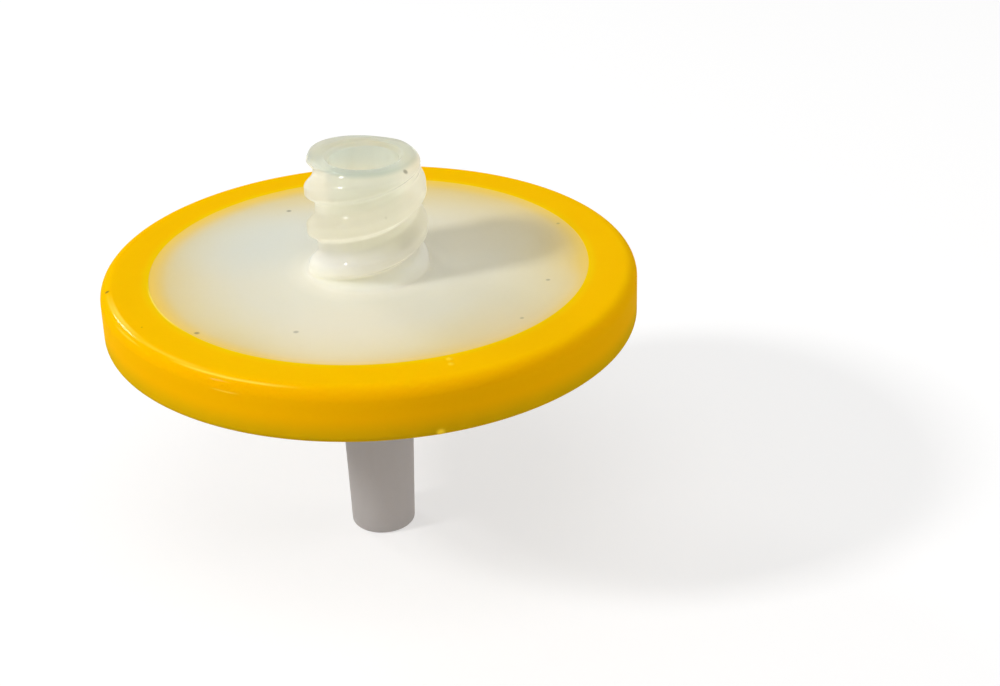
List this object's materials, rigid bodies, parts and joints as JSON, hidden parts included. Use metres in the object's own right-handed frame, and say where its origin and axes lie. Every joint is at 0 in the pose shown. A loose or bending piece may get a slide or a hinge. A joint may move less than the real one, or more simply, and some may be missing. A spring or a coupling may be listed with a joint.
{
  "type": "syringe filter",
  "caption": "Disposable syringe filter: a milky plastic disc gripped by a round coloured ring, with a threaded lock hub above it and a tapered slip tip below.",
  "frame": {"origin": "centre of the outlet tip's end face, on the common axis, the lowest plane of the part", "axes": "+Z along the axis from the outlet tip to the inlet hub's mouth; +X to the right and -Y towards the viewer, which fixes only where the thread's starts lie"},
  "size_m": [0.033, 0.033, 0.0256],
  "materials": {
    "inlet_plastic": "milky translucent, semi-gloss, as moulded",
    "outlet_plastic": "milky translucent, semi-gloss, as moulded",
    "membrane": "matt, finely porous",
    "ring_plastic": "opaque yellow, semi-gloss, as moulded"
  },
  "bodies": {
    "root": {"inlet_housing": "inlet_plastic", "outlet_housing": "outlet_plastic", "filter_membrane": "membrane", "overmould_ring": "ring_plastic"}
  },
  "joints": []
}
